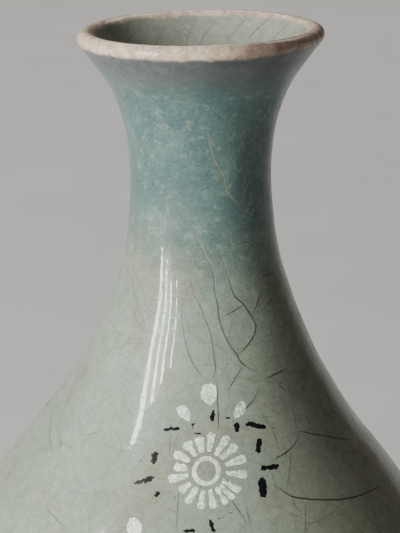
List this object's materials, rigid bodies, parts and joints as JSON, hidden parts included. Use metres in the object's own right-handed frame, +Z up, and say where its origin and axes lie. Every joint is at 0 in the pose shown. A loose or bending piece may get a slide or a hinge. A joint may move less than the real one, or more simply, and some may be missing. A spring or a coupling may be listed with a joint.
{
  "type": "sake bottle",
  "caption": "Pear-shaped ceramic sake bottle with a slim neck, a flared mouth, a foot ring and inlaid flower sprays under crackled celadon glaze.",
  "frame": {"origin": "centre of the foot's underside, on the surface the bottle stands on", "axes": "+Z up the bottle's axis; -Y towards the front flower spray"},
  "size_m": [0.0952, 0.0952, 0.152],
  "materials": {
    "stoneware_clay": "matte",
    "luting_slip": "matte",
    "celadon_glaze": "gloss",
    "lip_glaze": "satin",
    "white_slip": "satin",
    "black_slip": "satin"
  },
  "bodies": {
    "root": {"foot_ring": "stoneware_clay", "foot_luting_slip": "luting_slip", "lower_bowl_wall": "stoneware_clay", "belly_luting_slip": "luting_slip", "shoulder_wall": "stoneware_clay", "neck_luting_slip": "luting_slip", "neck_wall": "stoneware_clay", "outer_glaze_coat": "celadon_glaze", "inner_glaze_coat": "celadon_glaze", "lip_glaze_band": "lip_glaze", "foot_recess_glaze": "celadon_glaze", "spray_front_ring": "white_slip", "spray_front_petals": "white_slip", "spray_front_buds": "white_slip", "spray_front_leaves": "black_slip", "spray_right_ring": "white_slip", "spray_right_petals": "white_slip", "spray_right_buds": "white_slip", "spray_right_leaves": "black_slip", "spray_left_ring": "white_slip", "spray_left_petals": "white_slip", "spray_left_buds": "white_slip", "spray_left_leaves": "black_slip"}
  },
  "joints": []
}
